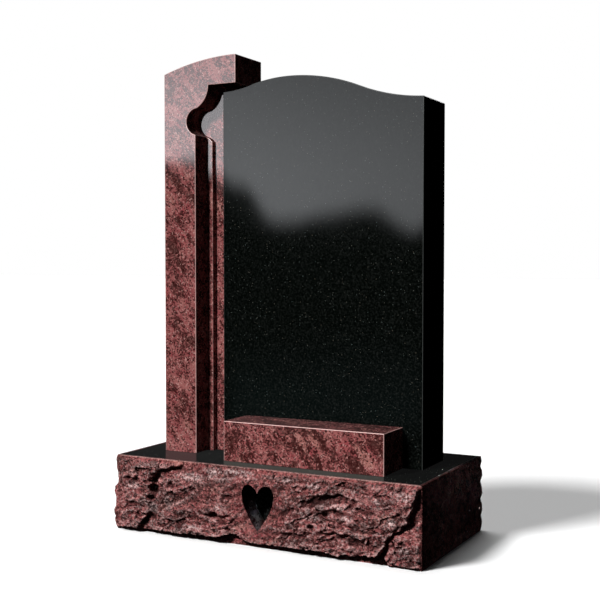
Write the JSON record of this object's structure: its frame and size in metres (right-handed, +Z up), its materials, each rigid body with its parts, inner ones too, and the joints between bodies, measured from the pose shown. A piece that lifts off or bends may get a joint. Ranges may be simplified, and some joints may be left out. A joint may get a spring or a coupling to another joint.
{
  "type": "headstone",
  "caption": "Upright granite headstone: black tablet with serpentine top, red side pillar with an arm over its shoulder, foot block, and a rock-pitched base with a cut heart.",
  "frame": {"origin": "middle of the base block's underside, between its arrises", "axes": "+Z up, -Y towards the front, +X to the right as seen from the front"},
  "size_m": [0.7142, 0.3652, 1.0115],
  "materials": {
    "red_granite_pitched": "rock-pitched",
    "black_granite_plate": "polished",
    "black_granite_heart": "polished",
    "red_granite_pillar": "polished",
    "black_granite_tablet": "polished",
    "red_granite_foot": "polished"
  },
  "bodies": {
    "root": {"base_block": "red_granite_pitched", "top_plate": "black_granite_plate", "heart_inlay": "black_granite_heart", "side_pillar": "red_granite_pillar", "tablet": "black_granite_tablet", "foot_block": "red_granite_foot"}
  },
  "joints": []
}
